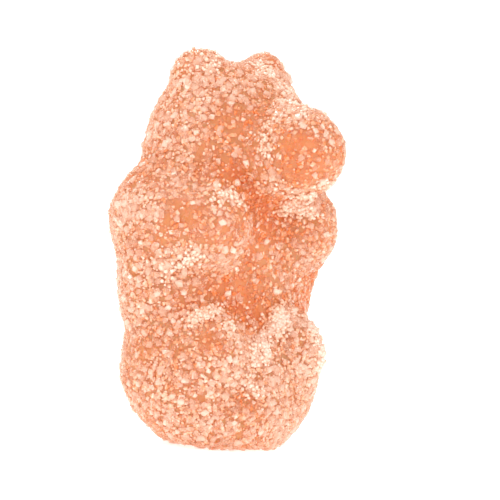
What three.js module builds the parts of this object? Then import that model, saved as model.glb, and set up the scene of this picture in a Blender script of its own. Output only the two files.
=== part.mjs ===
// A sugar-coated gummy bear, standing upright with its front towards -Y. Millimetres, +Z up.
//
// The real sweet is one casting of fruit gel, poured into a bear-shaped hollow in a tray of starch. Its lobes
// (rump, belly, chest, head, muzzle, ears, arms, paws, legs, feet) run into each other in soft creases, the
// back is flat where the hollow was open, and the whole skin is crusted with coarse sugar. The bear is one
// solid: a field of rounded lobes, and a skin of even triangles drawn tight round it, with a sugar grain at
// every corner.
import * as THREE from 'three';
import { mergeVertices } from 'three/addons/utils/BufferGeometryUtils.js';

// The lobes. "middle" is each lobe's centre, "half" its half sizes along X, Y and Z, and "crease" how wide it
// melts into the lobes before it. A paired lobe stands at +X and again at -X.
const LOBES = [
  { name: 'rump', middle: [0, -0.4, 3.4], half: [5.4, 3.9, 4.4] },
  { name: 'belly', middle: [0, 1.3, 9.3], half: [6.7, 3.9, 5.8], crease: 1.8 },
  { name: 'chest', middle: [0, 1.5, 12.8], half: [5.6, 3.9, 5.2], crease: 1.6 },
  { name: 'head', middle: [0, 1.3, 17.1], half: [5.2, 4.5, 4.8], crease: 1.6 },
  { name: 'muzzle', middle: [0, -4, 17.3], half: [2.6, 3.4, 2.6], crease: 1.4 },
  { name: 'ear', middle: [2.5, 1.7, 20.9], half: [1.6, 1.5, 1.75], crease: 0.8, paired: true },
  { name: 'arm', middle: [4.1, 1.5, 12.7], half: [2.9, 4.3, 3.1], crease: 1.2, paired: true },
  { name: 'paw', middle: [3.4, -1.5, 12.9], half: [2.1, 2.2, 2.6], crease: 0.8, paired: true },
  { name: 'leg', middle: [3.1, 0.4, 4.4], half: [2.9, 3.8, 3.6], crease: 1, paired: true },
  { name: 'foot', middle: [3, -2.1, 5.5], half: [1.9, 2.1, 2.4], crease: 0.6, paired: true },
];

// The two flats: the back, level with the top of the mould, and the seat that the bear stands on. The seat is
// a rectangle that bears all the weight, and the base round it clears the table by SEAT_EDGE_LIFT. At each
// corner of the seat the skin swells down to the table over SEAT_PAD_REACH.
const BACK_Y = 4.7;
const BACK_EDGE_ROUNDING = 1.4;
const SEAT_MIDDLE = [0, -0.3];
const SEAT_HALF = [2.5, 2.4];
const SEAT_SINK = 0.12;
const SEAT_EDGE_ROUNDING = 0.5;
const SEAT_EDGE_LIFT = 0.08;
const SEAT_PAD_REACH = 1.6;

// A cast sweet is never quite true: shallow swells run over it.
const SWELL_HEIGHT = 0.07;
const SWELL_LENGTH = 5.5;

// The sugar crust. One grain in GRAIN_EVERY is a tall one.
const GRAIN_HEIGHT = 0.26;
const CRUST_HEIGHT = 0.08;
const GRAIN_EVERY = 3;
const GRAIN_SEED = 20;

// The skin: a ball of 20 * (SKIN_DETAIL + 1)^2 triangles that starts loose round the bear and is drawn in.
const SKIN_DETAIL = 23;
const SKIN_START_MIDDLE = [0, 0, 11.2];
const SKIN_START_HALF = [7.5, 7.5, 12.5];
const DRAWING_IN_ROUNDS = 160;
const ROUNDS_PER_SWAP = 4;
const EVENING_SHARE = 0.6;
const LONGEST_STEP = 0.8;
const PROBE = 0.01;

const JELLY = new THREE.MeshStandardMaterial({ color: '#f6a67c', roughness: 0.75, metalness: 0 });

// Where two distances are within "width" of each other they melt into one another.
function meltMin(a, b, width) {
  const share = THREE.MathUtils.clamp(0.5 + (0.5 * (b - a)) / width, 0, 1);
  return THREE.MathUtils.lerp(b, a, share) - width * share * (1 - share);
}

function meltMax(a, b, width) {
  return -meltMin(-a, -b, width);
}

// How far a point lies outside one lobe (negative inside), close to true near the lobe's surface.
function lobeDistance(lobe, x, y, z) {
  const [halfX, halfY, halfZ] = lobe.half;
  const u = ((lobe.paired ? Math.abs(x) : x) - lobe.middle[0]) / halfX;
  const v = (y - lobe.middle[1]) / halfY;
  const w = (z - lobe.middle[2]) / halfZ;
  const reach = Math.sqrt(u * u + v * v + w * w);
  const slope = Math.sqrt((u / halfX) ** 2 + (v / halfY) ** 2 + (w / halfZ) ** 2);
  return (reach * (reach - 1)) / Math.max(slope, 1e-6);
}

// Shallow swells, as the sum of three crossing waves.
function swell(x, y, z) {
  const turn = (2 * Math.PI) / SWELL_LENGTH;
  const across = Math.sin(turn * (x + 0.6 * z));
  const along = Math.sin(turn * (y - 0.7 * x) + 1);
  const upward = Math.sin(turn * (z + 0.5 * y) + 2);
  return (SWELL_HEIGHT * (across + along + upward)) / 3;
}

// How far a point lies outside the whole bear.
function bearDistance(x, y, z) {
  let distance = lobeDistance(LOBES[0], x, y, z);
  for (let i = 1; i < LOBES.length; i += 1) {
    distance = meltMin(distance, lobeDistance(LOBES[i], x, y, z), LOBES[i].crease);
  }
  distance -= swell(x, y, z);
  distance = meltMax(distance, y - BACK_Y, BACK_EDGE_ROUNDING);
  return meltMax(distance, -SEAT_SINK - z, SEAT_EDGE_ROUNDING);
}

// The direction in which the distance grows fastest, which on the surface is the outward normal.
function outward(x, y, z) {
  return new THREE.Vector3(
    bearDistance(x + PROBE, y, z) - bearDistance(x - PROBE, y, z),
    bearDistance(x, y + PROBE, z) - bearDistance(x, y - PROBE, z),
    bearDistance(x, y, z + PROBE) - bearDistance(x, y, z - PROBE),
  ).normalize();
}

function drawIn(corner) {
  const { x, y, z } = corner;
  const step = THREE.MathUtils.clamp(bearDistance(x, y, z), -LONGEST_STEP, LONGEST_STEP);
  corner.addScaledVector(outward(x, y, z), -step);
}

// Seeded draws between 0 and 1, the same on every run.
function seededDraw(seed) {
  let state = seed;
  return () => {
    state = (state + 0x6d2b79f5) | 0;
    let mixed = Math.imul(state ^ (state >>> 15), 1 | state);
    mixed = (mixed + Math.imul(mixed ^ (mixed >>> 7), 61 | mixed)) ^ mixed;
    return ((mixed ^ (mixed >>> 14)) >>> 0) / 4294967296;
  };
}

// A closed ball of even triangles whose neighbours share their corners.
function looseSkin() {
  const ball = new THREE.IcosahedronGeometry(1, SKIN_DETAIL);
  ball.deleteAttribute('normal');
  ball.deleteAttribute('uv');
  const skin = mergeVertices(ball);
  skin.scale(...SKIN_START_HALF);
  skin.translate(...SKIN_START_MIDDLE);
  return skin;
}

// Every triangle's three sides, keyed by their two corners, so that each key holds one side of two triangles.
function sidesOf(index) {
  const sides = new Map();
  for (let start = 0; start < index.length; start += 3) {
    for (let turn = 0; turn < 3; turn += 1) {
      const [from, to, tip] = [0, 1, 2].map((step) => index[start + ((turn + step) % 3)]);
      const key = sideKey(from, to);
      sides.set(key, [...(sides.get(key) ?? []), { start, from, to, tip }]);
    }
  }
  return sides;
}

function sideKey(from, to) {
  return `${Math.min(from, to)} ${Math.max(from, to)}`;
}

function angleAt(tip, from, to) {
  return from.clone().sub(tip).angleTo(to.clone().sub(tip));
}

// Where the two triangles on a side are slender, swaps the side for the other diagonal of the pair.
function swapSlenderPairs(corners, index) {
  const sides = sidesOf(index);
  const taken = new Set(sides.keys());
  const swapped = new Set();
  for (const [one, other] of sides.values()) {
    const [from, to, tip, farTip] = [one.from, one.to, one.tip, other.tip].map((i) => corners[i]);
    const slender = angleAt(tip, from, to) + angleAt(farTip, from, to) > Math.PI;
    const diagonal = sideKey(one.tip, other.tip);
    const done = swapped.has(one.start) || swapped.has(other.start) || taken.has(diagonal);
    if (slender && !done) {
      index.set([one.tip, one.from, other.tip], one.start);
      index.set([one.tip, other.tip, one.to], other.start);
      taken.add(diagonal);
      swapped.add(one.start).add(other.start);
    }
  }
}

function neighboursOf(corners, index) {
  const neighbours = corners.map(() => new Set());
  for (const [{ from, to }] of sidesOf(index).values()) {
    neighbours[from].add(to);
    neighbours[to].add(from);
  }
  return neighbours;
}

// The area of the triangles round each corner.
function areasRound(corners, index) {
  const areas = corners.map(() => 0);
  for (let start = 0; start < index.length; start += 3) {
    const triangle = [...index.slice(start, start + 3)];
    const area = new THREE.Triangle(...triangle.map((i) => corners[i])).getArea();
    triangle.forEach((i) => {
      areas[i] += area;
    });
  }
  return areas;
}

// Each round moves every corner part of the way to the middle of its neighbours, and then back on to the
// bear's surface. Neighbours with large triangles pull hardest, so the triangles even out.
function drawSkinTight(corners, index) {
  let neighbours = neighboursOf(corners, index);
  for (let round = 1; round <= DRAWING_IN_ROUNDS; round += 1) {
    if (round % ROUNDS_PER_SWAP === 0) {
      swapSlenderPairs(corners, index);
      neighbours = neighboursOf(corners, index);
    }
    const before = corners.map((corner) => corner.clone());
    const areas = areasRound(corners, index);
    corners.forEach((corner, i) => {
      const middle = new THREE.Vector3();
      let pulls = 0;
      for (const other of neighbours[i]) {
        middle.addScaledVector(before[other], areas[other]);
        pulls += areas[other];
      }
      corner.lerp(middle.divideScalar(pulls), EVENING_SHARE);
      drawIn(corner);
    });
  }
  for (const corner of corners) {
    drawIn(corner);
    drawIn(corner);
  }
}

// Raises each corner by its own grain of sugar.
function coatWithSugar(corners) {
  const draw = seededDraw(GRAIN_SEED);
  for (const corner of corners) {
    const tall = draw() * GRAIN_EVERY < 1;
    const grain = tall ? GRAIN_HEIGHT * (0.5 + 0.5 * draw()) : CRUST_HEIGHT * draw();
    corner.addScaledVector(outward(corner.x, corner.y, corner.z), grain);
  }
}

// Presses the base flat. The four corners of the seat are corners of the skin, drawn down to the table
// together with the skin round them.
function pressSeat(corners) {
  const [middleX, middleY] = SEAT_MIDDLE;
  const [halfX, halfY] = SEAT_HALF;
  for (const [sideX, sideY] of [[1, 1], [-1, 1], [-1, -1], [1, -1]]) {
    const place = new THREE.Vector3(middleX + sideX * halfX, middleY + sideY * halfY, 0);
    const gaps = corners.map((corner) => corner.distanceTo(place));
    const nearest = corners[gaps.indexOf(Math.min(...gaps))];
    const drop = nearest.z;
    for (const corner of corners) {
      const reach = Math.min(corner.distanceTo(nearest) / SEAT_PAD_REACH, 1);
      corner.z -= drop * (1 - reach ** 2) ** 2;
    }
    nearest.copy(place);
  }
  for (const corner of corners) {
    const inSeat = Math.abs(corner.x - middleX) <= halfX && Math.abs(corner.y - middleY) <= halfY;
    corner.z = Math.max(corner.z, inSeat ? 0 : SEAT_EDGE_LIFT);
  }
}

function makeBear() {
  const skin = looseSkin();
  const position = skin.attributes.position;
  const corners = [];
  for (let i = 0; i < position.count; i += 1) {
    corners.push(new THREE.Vector3().fromBufferAttribute(position, i));
  }
  drawSkinTight(corners, skin.index.array);
  coatWithSugar(corners);
  pressSeat(corners);
  corners.forEach((corner, i) => position.setXYZ(i, corner.x, corner.y, corner.z));

  // The origin is the middle of the bear's own footprint box, at the level of the seat.
  skin.computeBoundingBox();
  const middle = skin.boundingBox.getCenter(new THREE.Vector3());
  skin.translate(-middle.x, -middle.y, 0);
  skin.computeVertexNormals();

  const bear = new THREE.Mesh(skin, JELLY);
  bear.name = 'bear';
  return bear;
}

const gummyBear = new THREE.Group();
gummyBear.add(makeBear());
export default gummyBear;
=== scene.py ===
from math import cos, radians, sin

import bpy
import numpy as np
from mathutils import Matrix, Vector


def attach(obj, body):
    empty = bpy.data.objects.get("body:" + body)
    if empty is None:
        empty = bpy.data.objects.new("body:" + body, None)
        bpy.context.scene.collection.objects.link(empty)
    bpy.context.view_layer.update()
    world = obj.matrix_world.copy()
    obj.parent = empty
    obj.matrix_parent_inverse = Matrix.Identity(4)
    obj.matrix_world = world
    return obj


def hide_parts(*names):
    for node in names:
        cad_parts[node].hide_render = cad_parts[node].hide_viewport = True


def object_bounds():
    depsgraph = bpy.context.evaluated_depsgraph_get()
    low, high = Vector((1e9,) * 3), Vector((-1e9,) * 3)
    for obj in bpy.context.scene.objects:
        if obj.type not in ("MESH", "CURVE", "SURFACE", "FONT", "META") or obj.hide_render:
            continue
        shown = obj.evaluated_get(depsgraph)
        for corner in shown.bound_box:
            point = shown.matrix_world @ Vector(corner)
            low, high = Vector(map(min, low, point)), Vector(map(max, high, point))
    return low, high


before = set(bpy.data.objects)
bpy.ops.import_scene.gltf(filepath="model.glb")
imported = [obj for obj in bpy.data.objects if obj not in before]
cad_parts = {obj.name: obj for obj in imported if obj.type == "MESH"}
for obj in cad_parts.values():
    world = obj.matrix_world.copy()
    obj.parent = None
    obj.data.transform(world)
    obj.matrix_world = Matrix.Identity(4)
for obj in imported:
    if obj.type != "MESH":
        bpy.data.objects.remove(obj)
cad_low, cad_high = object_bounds()
mm = 0.001


# ---- The gel body ----
# The sweet itself: fruit gel cast in one piece in a hollow pressed in starch. Rounded lobes run into each
# other in soft creases, the back is flat and the base has a small seat. It is the form of the solid without
# the grains on its skin, set in by the thickness of the sugar that covers it.

crust = 0.16 * mm
skin_cell = 0.16 * mm
grain_smoothing = 30
skin_smoothing = 6


def deselect_all():
    if bpy.context.mode != "OBJECT":
        bpy.ops.object.mode_set(mode="OBJECT")
    bpy.ops.object.select_all(action="DESELECT")


def apply_modifier(piece, kind, **settings):
    modifier = piece.modifiers.new(kind.title(), kind)
    for name, value in settings.items():
        setattr(modifier, name, value)
    bpy.context.view_layer.objects.active = piece
    bpy.ops.object.modifier_apply(modifier=modifier.name)


# The solid's mesh is copied and its loose triangles are merged. The first remesh and smoothing take the
# grains off its skin, the displacement sets it in under the sugar, and the second pair evens it out.
deselect_all()
gel = bpy.data.objects.new("gel_body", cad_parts["bear"].data.copy())
bpy.context.scene.collection.objects.link(gel)
gel.select_set(True)
bpy.context.view_layer.objects.active = gel
bpy.ops.object.mode_set(mode="EDIT")
bpy.ops.mesh.select_all(action="SELECT")
bpy.ops.mesh.remove_doubles(threshold=0.001 * mm)
bpy.ops.object.mode_set(mode="OBJECT")
apply_modifier(gel, "REMESH", mode="VOXEL", voxel_size=skin_cell)
apply_modifier(gel, "SMOOTH", factor=0.5, iterations=grain_smoothing)
apply_modifier(gel, "DISPLACE", strength=-crust, mid_level=0)
apply_modifier(gel, "REMESH", mode="VOXEL", voxel_size=skin_cell)
apply_modifier(gel, "SMOOTH", factor=0.5, iterations=skin_smoothing)
bpy.ops.object.shade_smooth()


def skin_of(piece):
    """The corners, outward normals, triangles and edges of a piece's skin."""
    mesh = piece.data
    mesh.calc_loop_triangles()
    corners = np.empty(len(mesh.vertices) * 3)
    mesh.vertices.foreach_get("co", corners)
    normals = np.empty(len(mesh.vertices) * 3)
    mesh.vertices.foreach_get("normal", normals)
    triangles = np.empty(len(mesh.loop_triangles) * 3, dtype=np.int32)
    mesh.loop_triangles.foreach_get("vertices", triangles)
    edges = np.empty(len(mesh.edges) * 2, dtype=np.int32)
    mesh.edges.foreach_get("vertices", edges)
    return corners.reshape(-1, 3), normals.reshape(-1, 3), triangles.reshape(-1, 3), edges.reshape(-1, 2)


corners, normals, triangles, edges = skin_of(gel)


def smoothed(values, rounds):
    """Values on the skin's corners, each averaged with its neighbours that many times."""
    values = values.copy()
    count = np.bincount(edges.ravel(), minlength=len(values))[:, None]
    for _ in range(rounds):
        total = np.zeros_like(values)
        np.add.at(total, edges[:, 0], values[edges[:, 1]])
        np.add.at(total, edges[:, 1], values[edges[:, 0]])
        values = (values + total / count) / 2
    return values


def depth_below(rounds):
    """How far each corner lies below the skin smoothed that many times, in mm, or above it if negative."""
    return ((smoothed(corners, rounds) - corners) * normals).sum(axis=1) / mm


# The broad hollows between lobes, where the gel's colour is painted a deeper orange: painted shade for the
# light that goes round in the gel there. The attribute tells the material how far that painted shade goes,
# from 0 to 1.
hollow_rounds = 400
hollow = depth_below(hollow_rounds)
full_hollow = 0.33
hollow_shade = np.clip(hollow / full_hollow, 0, 1)
gel.data.attributes.new("hollow", "FLOAT", "POINT").data.foreach_set("value", hollow_shade)


def linear(hex_colour):
    """An sRGB hex colour as the linear values that a shader takes."""
    channels = [int(hex_colour[i : i + 2], 16) / 255 for i in (1, 3, 5)]
    return [c / 12.92 if c <= 0.04045 else ((c + 0.055) / 1.055) ** 2.4 for c in channels] + [1]


def add_node(material, kind, settings=None, **inputs):
    """Adds a node, sets its properties, and sets or links its inputs, by name with spaces as underscores, or
    by an underscore and a number."""
    node = material.node_tree.nodes.new(kind)
    for name, value in (settings or {}).items():
        setattr(node, name, value)
    for name, value in inputs.items():
        socket = node.inputs[int(name[1:])] if name[1:].isdigit() else node.inputs[name.replace("_", " ")]
        if isinstance(value, bpy.types.NodeSocket):
            material.node_tree.links.new(value, socket)
        else:
            socket.default_value = value
    return node


def new_material(name):
    material = bpy.data.materials.new(name)
    material.use_nodes = True
    material.node_tree.nodes.clear()
    return material


# Gelatine and pectin gel with fruit colour, cast in starch: light sinks some millimetres into it and comes out
# orange, in soft clouds, and its skin is finely pitted by the starch. In the hollows the colour is painted a
# deeper orange, painted shade for the light that goes round in the gel there. The faint glow is painted light,
# standing for light that has come through the sweet from all round.
cloud_size = 3.5 * mm
pit_size = 0.2 * mm
pit_depth = 0.05 * mm
sinking_depth = 2.5 * mm


def fruit_gel():
    material = new_material("fruit_gel")
    where = add_node(material, "ShaderNodeTexCoord").outputs["Object"]
    cloud = add_node(material, "ShaderNodeTexNoise", Vector=where, Scale=1 / cloud_size, Detail=3.0)
    pits = add_node(material, "ShaderNodeTexNoise", Vector=where, Scale=1 / pit_size, Detail=2.0)
    skin = add_node(material, "ShaderNodeBump", Height=pits.outputs["Fac"], Strength=0.6, Distance=pit_depth)
    deep = add_node(material, "ShaderNodeAttribute", {"attribute_name": "hollow"})
    clouded = add_node(
        material,
        "ShaderNodeMix",
        {"data_type": "RGBA"},
        _0=cloud.outputs["Fac"],
        _6=linear("#cd7446"),
        _7=linear("#d48c5d"),
    )
    # Painted shade: the colour is mixed towards a deeper orange in the hollows.
    hollow_shaded = add_node(
        material,
        "ShaderNodeMix",
        {"data_type": "RGBA"},
        _0=deep.outputs["Fac"],
        _6=clouded.outputs[2],
        _7=linear("#dc6a2c"),
    )
    shader = add_node(
        material,
        "ShaderNodeBsdfPrincipled",
        Base_Color=hollow_shaded.outputs[2],
        Roughness=0.4,
        IOR=1.42,
        Normal=skin.outputs["Normal"],
        Subsurface_Weight=1.0,
        Subsurface_Radius=(1.0, 0.4, 0.18),
        Subsurface_Scale=sinking_depth,
        # A painted glow, standing for light that has come through the sweet.
        Emission_Color=linear("#ff7a38"),
        Emission_Strength=0.08,
    )
    add_node(material, "ShaderNodeOutputMaterial", Surface=shader.outputs["BSDF"])
    return material


gel.data.materials.clear()
gel.data.materials.append(fruit_gel())
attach(gel, "root")
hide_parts("bear")


# ---- Coarse sugar ----
# Caster sugar that the damp bears are tumbled in: blocky clear crystals, a fifth to two fifths of a
# millimetre across, stuck to the gel by one side and lying every way round. They lie closer and whiter in
# some places than in others.

rng = np.random.default_rng(7)
height = corners[:, 2] / mm
crease_rounds = 30
crease = depth_below(crease_rounds)


def patchy(rounds):
    """Seeded unevenness over the skin, about 0 with a spread of 1. More rounds make wider patches."""
    values = smoothed(rng.normal(size=(len(corners), 1)), rounds).ravel()
    return values / values.std()


places_per_stretch = 6


def nearness(line, reach):
    """How near each corner is to a line of places, from 1 on it to 0 well beyond its reach. All in mm."""
    stops = np.array(line, dtype=float) * mm
    steps = np.linspace(0, 1, places_per_stretch)[:, None]
    along = [stops[:1]] + [start + steps * (end - start) for start, end in zip(stops, stops[1:])]
    away = np.full(len(corners), np.inf)
    for place in np.concatenate(along):
        away = np.minimum(away, ((corners - place) ** 2).sum(axis=1))
    return np.exp(-away / (reach * mm) ** 2)


# Where the sugar is made thin and clear: a line of places in mm, and its reach. On the snout, temple, cheek,
# paws, right sole and base it was worn thin by handling; down the chest and belly and on the side of the belly
# it is partly worn and partly painted shade, which leaves that recess under the snout and between the arms and
# legs a deeper orange.
rubbed_and_shade_places = {
    "side of the snout": ([(-1.5, -5.0, 17.8), (-2.0, -4.7, 16.6)], 1.3),
    "temple": ([(-3.5, -0.4, 18.6)], 1.1),
    "cheek": ([(-3.1, -1.2, 15.8)], 0.8),
    "right paw": ([(-2.5, -2.2, 13.2), (-2.9, -2.3, 12.3)], 1.1),
    # Partly painted shade: the recess down the chest and belly is kept a deeper orange.
    "down the chest and belly": (
        [(-1.2, -1.4, 14.2), (-0.7, -1.4, 12.9), (-1.0, -1.6, 10.4), (-1.0, -1.4, 9.0), (-0.6, -1.5, 7.8)],
        1.1,
    ),
    "left paw": ([(2.5, -2.3, 12.7)], 1.1),
    "side of the belly": ([(-2.5, -1.1, 8.9)], 1.2),
    "right sole": ([(-4.4, -2.1, 6.4)], 1.0),
    "base": ([(-1.5, -2.9, 3.0)], 0.6),
}
rubbed_and_shade = np.zeros(len(corners))
for line, reach in rubbed_and_shade_places.values():
    rubbed_and_shade = np.maximum(rubbed_and_shade, nearness(line, reach))

# Where it lies packed in pale ridges: a line of places in mm, its reach, and how thickly.
packed_places = {
    "right ear": ([(-2.9, 2.1, 22.0)], 0.7, 0.6),
    "left ear and brow": (
        [(1.0, 1.1, 21.8), (1.4, 0.2, 20.9), (0.7, -1.3, 20.4), (-0.5, -3.1, 19.9), (-1.0, -4.3, 19.5)],
        0.6,
        0.9,
    ),
    "edge of the snout": (
        [(-1.9, -2.8, 19.0), (-2.5, -3.0, 18.1), (-2.6, -2.9, 17.4), (-2.6, -3.5, 16.9)],
        0.25,
        0.25,
    ),
    "under the snout": ([(-1.4, -4.1, 14.9), (0.3, -4.8, 15.2)], 0.6, 0.9),
    "top of the right paw": ([(-4.0, -1.9, 14.7), (-3.2, -2.1, 14.5)], 0.4, 1.0),
    "top of the left paw": ([(1.2, -1.7, 14.1), (2.6, -2.0, 14.3)], 0.45, 1.3),
    "under the right arm": (
        [(-6.6, 1.9, 9.5), (-6.4, 1.3, 9.9), (-5.5, -0.3, 10.7), (-5.4, -1.0, 11.1)],
        0.45,
        0.8,
    ),
    # Partly painted light: this ridge is laid extra thick and white so that the top of the left foot stays
    # pale where the lamps leave it in shade.
    "inner edge of the left foot": (
        [(-0.8, -2.4, 5.6), (-0.5, -2.2, 6.6), (0.9, -1.7, 7.3), (1.5, -1.6, 7.8), (2.4, -1.6, 8.0)],
        0.45,
        3.2,
    ),
    "top of the left foot": (
        [(2.4, -1.6, 8.0), (3.2, -2.0, 7.8), (3.7, -2.7, 7.0), (3.9, -2.9, 5.3)],
        0.5,
        1.2,
    ),
    "round the right sole": (
        [(-4.4, -0.7, 7.4), (-3.9, -1.0, 7.8), (-2.9, -1.3, 8.0), (-3.0, -2.5, 7.3), (-2.8, -2.9, 6.5)],
        0.35,
        0.7,
    ),
    "between the feet": ([(-1.5, -3.0, 4.0)], 0.5, 1.0),
}
packed = np.zeros(len(corners))
for line, reach, plenty in packed_places.values():
    packed = np.maximum(packed, plenty * nearness(line, reach))

# How thick and white the sugar lies, from 0, thin and clear, to 1.2, packed white: thicker in tight creases,
# in patches, and on the top of the head. It is also made thinner and clearer in broad hollows than on crowns,
# which is painted shade that leaves the hollows a deeper orange, and whiter on the legs, which is partly
# thicker sugar and partly painted light thrown up from the white table.
usual_frost = 0.33
most_frost = 1.2
crown_limit = -0.35
hollow_limit = 0.3
hollow_loss = 0.9
crease_gain = 1.4
patch_gain = 0.12
patch_rounds = 120
legs_gain = 0.15
legs_top = 9.0
legs_fade = 4.0
head_gain = 0.12
head_start = 18.5
head_fade = 2.0
packed_gain = 0.4
rubbed_and_shade_loss = 0.55
# Painted shade: thinner, clearer sugar in broad hollows, so that they show the gel's deeper orange.
frost_and_shade = usual_frost - hollow_loss * np.clip(hollow, crown_limit, hollow_limit)
frost_and_shade += crease_gain * crease
frost_and_shade += patch_gain * patchy(patch_rounds)
# Partly painted light: whiter on the legs, for light thrown up from the white table.
frost_and_shade += legs_gain * np.clip((legs_top - height) / legs_fade, 0, 1)
frost_and_shade += head_gain * np.clip((height - head_start) / head_fade, 0, 1)
frost_and_shade = np.clip(frost_and_shade + packed_gain * packed - rubbed_and_shade_loss * rubbed_and_shade, 0, most_frost)


def scatter(count, weight):
    """Seeded places on the skin, as many to each patch as its area times its weight asks, with the skin's
    normal and how thick and white the sugar lies there, a value that also carries painted shade and painted
    light."""
    a, b, c = (corners[triangles[:, i]] for i in range(3))
    area = np.linalg.norm(np.cross(b - a, c - a), axis=1)
    share = area * weight[triangles].mean(axis=1)
    chosen = rng.choice(len(triangles), size=count, p=share / share.sum())
    u, v = rng.random((2, count, 1))
    over = (u + v) > 1
    u, v = np.where(over, 1 - u, u), np.where(over, 1 - v, v)
    place = a[chosen] + u * (b - a)[chosen] + v * (c - a)[chosen]
    normal = normals[triangles[chosen]].mean(axis=1)
    thickness_and_shade = frost_and_shade[triangles[chosen]].mean(axis=1)
    return place, normal / np.linalg.norm(normal, axis=1, keepdims=True), thickness_and_shade


def turns_on_skin(normal, tilt):
    """Rotation matrices that lay each crystal on its flat side, turned at random and tilted a little."""
    up = normal + rng.normal(scale=tilt, size=normal.shape)
    up /= np.linalg.norm(up, axis=1, keepdims=True)
    along = np.cross(up, rng.normal(size=normal.shape))
    along /= np.linalg.norm(along, axis=1, keepdims=True)
    return np.stack([along, np.cross(up, along), up], axis=2)


def crystal_form(name, size, chips):
    """A crystal to copy: a block about a unit across, its corners chipped off by planes. Each chip is the
    direction of a corner and how deep it goes, as a share of the way to the middle."""
    deselect_all()
    bpy.ops.mesh.primitive_cube_add(size=1)
    crystal = bpy.context.object
    crystal.name = name
    bpy.ops.object.mode_set(mode="EDIT")
    bpy.ops.mesh.select_all(action="SELECT")
    bpy.ops.transform.resize(value=size)
    for direction, depth in chips:
        outward = Vector(direction).normalized()
        reach = sum(abs(outward[i]) * size[i] / 2 for i in range(3))
        bpy.ops.mesh.select_all(action="SELECT")
        bpy.ops.mesh.bisect(
            plane_co=outward * reach * (1 - depth),
            plane_no=outward,
            use_fill=True,
            clear_outer=True,
        )
    bpy.ops.mesh.select_all(action="SELECT")
    bpy.ops.mesh.quads_convert_to_tris()
    bpy.ops.object.mode_set(mode="OBJECT")
    mesh = crystal.data
    shape = np.array([v.co for v in mesh.vertices])
    faces = np.array([p.vertices for p in mesh.polygons])
    facing = np.array([p.normal for p in mesh.polygons])
    _, facet = np.unique(facing.round(3), axis=0, return_inverse=True)
    bpy.data.objects.remove(crystal)
    return shape, faces, facet.ravel()


# Each facet is as white as its own draw and its crystal's say, in this share, and whiter where the sugar lies
# thick;
# the same value also carries the painted shade of the hollows and the painted light on the legs. Some crystals
# are painted white as a whole: painted glints, as if they caught the light.
facet_share = 0.5
even_frost = 0.5
frost_contrast = 9
glint_share = 0.08
dullest_glint = 0.5


def draw_whiteness(thickness_and_shade, facet):
    """How white each face of each crystal is, from 0, clear, to 1."""
    whole = rng.random((len(thickness_and_shade), 1))
    single = rng.random((len(thickness_and_shade), facet.max() + 1))[:, facet]
    white = facet_share * single + (1 - facet_share) * whole
    white = white ** (frost_contrast ** (even_frost - thickness_and_shade[:, None]))
    # Painted glints: these crystals are painted white however thick the sugar lies.
    glinting = rng.random((len(thickness_and_shade), 1)) < glint_share
    return np.where(glinting, dullest_glint + (1 - dullest_glint) * single, white)


# The map for baking: how far in from its edge it starts, how far across it reaches, the step up from one facet
# to the next, and how large each lies on it.
map_edge = 0.02
map_width = 0.96
facet_step = 0.618034
spot_radius = 0.006


def spots_by_whiteness(white, shape, form_faces, facet):
    """Where the corners of each face lie on the map for baking: facet by facet, as far across it as the facet
    is white. Only facets of one tint lie over each other there, so a baked map gives each its own tint."""
    number = np.arange(len(white))[:, None] * (facet.max() + 1) + facet
    middle = map_edge + map_width * np.stack([white, number * facet_step % 1], axis=2)
    turn = 2 * np.pi * form_faces / len(shape)
    return middle[:, :, None, :] + spot_radius * np.stack([np.cos(turn), np.sin(turn)], axis=2)


def join_copies(name, forms, place, normal, thickness_and_shade, size, lift, tilt):
    """One mesh of many crystals, each a copy of one of the forms, its middle lifted by part of its size. None
    reaches below the table."""
    points, faces, whites, spots, start = [], [], [], [], 0
    turns = turns_on_skin(normal, tilt)
    kind = rng.integers(len(forms), size=len(place))
    for number, (shape, form_faces, facet) in enumerate(forms):
        mine = kind == number
        middle = place[mine] + normal[mine] * (size[mine] * lift[mine])[:, None]
        moved = np.einsum("nij,kj->nki", turns[mine], shape) * size[mine][:, None, None] + middle[:, None, :]
        moved = moved.reshape(-1, 3)
        moved[:, 2] = np.maximum(moved[:, 2], 0)
        copies = np.arange(mine.sum())[:, None, None] * len(shape) + form_faces[None]
        white = draw_whiteness(thickness_and_shade[mine], facet)
        points.append(moved)
        faces.append(copies.reshape(-1, 3) + start)
        whites.append(white.ravel())
        spots.append(spots_by_whiteness(white, shape, form_faces, facet).ravel())
        start += len(moved)
    points, faces = np.concatenate(points), np.concatenate(faces)
    mesh = bpy.data.meshes.new(name)
    mesh.vertices.add(len(points))
    mesh.vertices.foreach_set("co", points.ravel())
    mesh.loops.add(faces.size)
    mesh.loops.foreach_set("vertex_index", faces.ravel())
    mesh.polygons.add(len(faces))
    mesh.polygons.foreach_set("loop_start", np.arange(0, faces.size, 3))
    mesh.update()
    mesh.attributes.new("whiteness", "FLOAT", "FACE").data.foreach_set("value", np.concatenate(whites))
    mesh.uv_layers.new(name="OFBake").uv.foreach_set("vector", np.concatenate(spots))
    piece = bpy.data.objects.new(name, mesh)
    bpy.context.scene.collection.objects.link(piece)
    return piece


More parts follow.
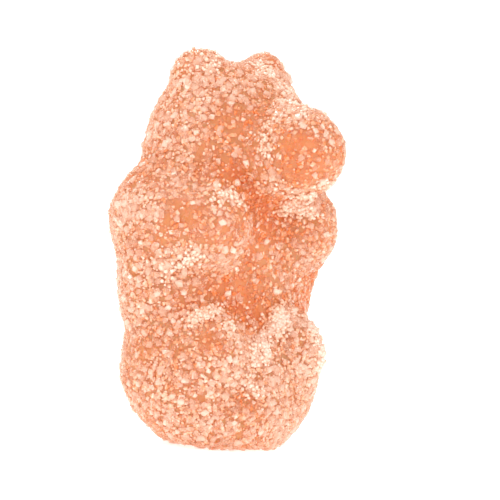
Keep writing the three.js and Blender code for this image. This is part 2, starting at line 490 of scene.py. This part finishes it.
# Sucrose crystals: clear and colourless, IOR 1.54, with flat glassy faces. Lying on the gel each is a small
# window on to the orange with a white glint on it; packed together they scatter white. The whiteness of a face
# picks its tint and, in the coarse sugar, how much of the gel shows through it. Every grain also has a faint
# painted orange glow, standing for light that comes out of the gel through it.
def sugar_crystal(name, roughness, tints, clearest=1.0, cloudiest=1.0):
    material = new_material(name)
    drawn = add_node(material, "ShaderNodeAttribute", {"attribute_name": "whiteness"}).outputs["Fac"]
    ramp = add_node(material, "ShaderNodeValToRGB", Fac=drawn)
    stops = ramp.color_ramp.elements
    stops.remove(stops[1])
    for share, colour in tints:
        stop = stops.new(share) if share > 0 else stops[0]
        stop.color = linear(colour)
    shader = add_node(
        material,
        "ShaderNodeBsdfPrincipled",
        Base_Color=ramp.outputs["Color"],
        Roughness=roughness,
        IOR=1.54,
        # Painted glow: light from the gel, painted into every grain.
        Emission_Color=linear("#ff924c"),
        Emission_Strength=0.165,
    )
    if clearest < 1:
        steep = add_node(material, "ShaderNodeMath", {"operation": "POWER"}, _0=drawn, _1=2.0)
        opacity = add_node(
            material,
            "ShaderNodeMapRange",
            Value=steep.outputs[0],
            To_Min=clearest,
            To_Max=cloudiest,
        )
        material.node_tree.links.new(opacity.outputs[0], shader.inputs["Alpha"])
    add_node(material, "ShaderNodeOutputMaterial", Surface=shader.outputs["BSDF"])
    return material


def sugar_piece(name, forms, count, weight, sizes, lifts, tilt, material):
    """Scatters and joins one kind of sugar. Sizes are in mm, and lifts are shares of a crystal's size."""
    place, normal, thickness_and_shade = scatter(count, weight)
    size = rng.uniform(*sizes, count) * mm
    lift = rng.uniform(*lifts, count)
    piece = join_copies(name, forms, place, normal, thickness_and_shade, size, lift, tilt)
    piece.data.materials.append(material)
    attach(piece, "root")
    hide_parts("bear")


block = crystal_form("block", (1.0, 0.85, 0.7), [((1, 1, 1), 0.2), ((-1, 1, 1), 0.28), ((0.3, -1, 1), 0.22)])
slab = crystal_form("slab", (1.1, 0.8, 0.5), [((1, 0.3, 1), 0.25), ((-1, -1, 0.8), 0.2)])
wedge = crystal_form("wedge", (1.0, 0.9, 0.75), [((1, 0.6, 1), 0.3), ((-0.4, -1, 1), 0.25)])
crystal_tints = [(0.0, "#cd8050"), (0.2, "#cd906a"), (0.55, "#ddb49b"), (1.0, "#ebd1c0")]

sugar_piece(
    "coarse_sugar",
    forms=[block, slab, wedge],
    count=8600,
    weight=0.8 + 0.6 * frost_and_shade,
    sizes=(0.22, 0.42),
    lifts=(-0.14, 0.1),
    tilt=0.25,
    material=sugar_crystal("coarse_sucrose", 0.08, crystal_tints, clearest=0.12, cloudiest=0.95),
)


# ---- Fine sugar ----
# The smaller grains of the same sugar, which fill the gaps between the coarse ones and gather in the creases.
# They are too small to look through, so they are made opaque, in tints of the gel under them.

grain_tints = [(0.0, "#d66f36"), (0.2, "#d0855a"), (0.55, "#dbaa8b"), (1.0, "#ebd1c0")]

sugar_piece(
    "fine_sugar",
    forms=[slab],
    count=9500,
    weight=0.8 + 0.6 * frost_and_shade + np.clip(6.0 * crease, 0, 1.0),
    sizes=(0.16, 0.28),
    lifts=(-0.2, 0.0),
    tilt=0.35,
    material=sugar_crystal("fine_sucrose", 0.15, grain_tints),
)


# ---- Sugar dust ----
# Broken grains and dust rubbed off the crystals, about a tenth of a millimetre across. It stays where nothing
# wipes it off, so the creases whiten first.

grain = crystal_form("grain", (1.0, 0.9, 0.8), [])

sugar_piece(
    "sugar_dust",
    forms=[grain],
    count=9000,
    weight=np.clip(0.2 + frost_and_shade + 8.0 * crease, 0.1, 3.0),
    sizes=(0.08, 0.14),
    lifts=(-0.2, 0.3),
    tilt=0.6,
    material=sugar_crystal("sugar_dust", 0.3, grain_tints),
)


# ---- Packed sugar ----
# Along ledges and grooves, where a bear lay against its neighbours, grains stick on grains and lie up as a
# pale ridge, broken here and there.

packed_tints = [(0.0, "#d6a487"), (0.5, "#e6c6b1"), (1.0, "#efddd0")]
gap_rounds = 25

sugar_piece(
    "packed_sugar",
    forms=[grain],
    count=2600,
    weight=packed * np.clip(0.4 + patchy(gap_rounds), 0.03, 2),
    sizes=(0.1, 0.2),
    lifts=(0.0, 1.2),
    tilt=0.8,
    material=sugar_crystal("packed_sucrose", 0.2, packed_tints),
)


# ---- Floor, light and camera ----
# A white seamless table under four soft round lamps, with a bright white surround. The camera looks at the
# bear's right front, a little from above, and is rolled so that the bear leans.

table_width = 12

deselect_all()
bpy.ops.mesh.primitive_plane_add(size=table_width)
floor = bpy.context.object
floor.name = "floor"


# Matt white laminate: an even white with no grain. A light of its own keeps it white round the bear, with
# hardly any shadow.
def white_laminate():
    material = new_material("white_laminate")
    shader = add_node(
        material,
        "ShaderNodeBsdfPrincipled",
        Base_Color=linear("#f7f6f4"),
        Roughness=0.6,
        Emission_Color=linear("#ffffff"),
        Emission_Strength=0.7,
    )
    add_node(material, "ShaderNodeOutputMaterial", Surface=shader.outputs["BSDF"])
    return material


floor.data.materials.append(white_laminate())


def toward(azimuth, elevation):
    """The direction from the bear to a place round it, in degrees from its front and from the table."""
    a, e = radians(azimuth), radians(elevation)
    return Vector((sin(a) * cos(e), -cos(a) * cos(e), sin(e)))


lamp_distance = 0.3


def soft_lamp(name, azimuth, elevation, width, power):
    """A round area lamp turned to the middle of the bear. The width is in metres, the power in watts."""
    out = toward(azimuth, elevation)
    bpy.ops.object.light_add(type="AREA", location=out * lamp_distance + Vector((0, 0, cad_high.z / 2)))
    light = bpy.context.object
    light.name = name
    light.rotation_mode = "QUATERNION"
    light.rotation_quaternion = out.to_track_quat("Z", "Y")
    light.data.shape = "DISK"
    light.data.size = width
    light.data.energy = power


soft_lamp("lamp_above", azimuth=-100, elevation=55, width=0.12, power=0.37)
soft_lamp("lamp_front", azimuth=-10, elevation=35, width=0.08, power=0.2)
soft_lamp("lamp_fill", azimuth=35, elevation=25, width=0.15, power=0.09)
soft_lamp("lamp_behind", azimuth=150, elevation=40, width=0.1, power=0.3)

world = bpy.data.worlds.new("white_surround")
world.use_nodes = True
background = world.node_tree.nodes["Background"]
background.inputs["Color"].default_value = linear("#ffffff")
background.inputs["Strength"].default_value = 0.8
bpy.context.scene.world = world
bpy.context.scene.view_settings.view_transform = "Standard"

view_azimuth = -43
view_elevation = 4
view_roll = 5.5
share_of_view = 0.8
lens = 300

bpy.ops.object.camera_add()
camera = bpy.context.object
camera.data.lens = lens
half_view = camera.data.sensor_width / 2 / lens
distance = cad_high.z / 2 / share_of_view / half_view
out = toward(view_azimuth, view_elevation)
camera.location = (cad_low + cad_high) / 2 + out * distance
turn = out.to_track_quat("Z", "Y").to_matrix().to_4x4()
camera.rotation_euler = (turn @ Matrix.Rotation(radians(view_roll), 4, "Z")).to_euler()
camera.data.clip_start = 0.01
camera.data.clip_end = 10
bpy.context.scene.camera = camera
